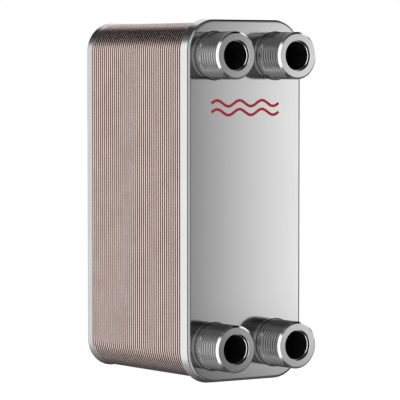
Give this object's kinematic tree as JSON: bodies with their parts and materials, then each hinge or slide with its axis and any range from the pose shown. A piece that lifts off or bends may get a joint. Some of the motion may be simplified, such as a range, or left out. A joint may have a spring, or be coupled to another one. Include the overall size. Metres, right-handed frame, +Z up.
{
  "type": "plate heat exchanger",
  "caption": "Brazed plate heat exchanger: nested corrugated plates between two folded covers, with externally threaded connection nipples on the front.",
  "frame": {"origin": "bottom centre of the bounding box", "axes": "+Z up along the long side, connections face -Y, +X to the right when facing the connections"},
  "size_m": [0.0752, 0.1196, 0.1938],
  "materials": {
    "cover_steel": "satin, nearly mirror on the flat",
    "pack_steel": "stainless sheet tinted by copper braze",
    "nipple_steel": "turned",
    "copper_braze": "solidified copper braze"
  },
  "bodies": {
    "root": {"front_cover": "cover_steel", "front_reinforcing_plate": "cover_steel", "front_sealing_plate": "cover_steel", "channel_plate_01": "pack_steel", "channel_plate_02": "pack_steel", "channel_plate_03": "pack_steel", "channel_plate_04": "pack_steel", "channel_plate_05": "pack_steel", "channel_plate_06": "pack_steel", "channel_plate_07": "pack_steel", "channel_plate_08": "pack_steel", "channel_plate_09": "pack_steel", "channel_plate_10": "pack_steel", "channel_plate_11": "pack_steel", "channel_plate_12": "pack_steel", "channel_plate_13": "pack_steel", "channel_plate_14": "pack_steel", "channel_plate_15": "pack_steel", "channel_plate_16": "pack_steel", "channel_plate_17": "pack_steel", "channel_plate_18": "pack_steel", "channel_plate_19": "pack_steel", "channel_plate_20": "pack_steel", "channel_plate_21": "pack_steel", "channel_plate_22": "pack_steel", "channel_plate_23": "pack_steel", "channel_plate_24": "pack_steel", "channel_plate_25": "pack_steel", "channel_plate_26": "pack_steel", "channel_plate_27": "pack_steel", "channel_plate_28": "pack_steel", "channel_plate_29": "pack_steel", "channel_plate_30": "pack_steel", "channel_plate_31": "pack_steel", "channel_plate_32": "pack_steel", "channel_plate_33": "pack_steel", "channel_plate_34": "pack_steel", "channel_plate_35": "pack_steel", "channel_plate_36": "pack_steel", "channel_plate_37": "pack_steel", "channel_plate_38": "pack_steel", "channel_plate_39": "pack_steel", "channel_plate_40": "pack_steel", "channel_plate_41": "pack_steel", "channel_plate_42": "pack_steel", "channel_plate_43": "pack_steel", "back_sealing_plate": "cover_steel", "back_cover": "cover_steel", "nipple_upper_left": "nipple_steel", "nipple_upper_right": "nipple_steel", "nipple_lower_left": "nipple_steel", "nipple_lower_right": "nipple_steel", "nipple_braze_rings": "copper_braze", "braze_seams": "copper_braze"}
  },
  "joints": []
}
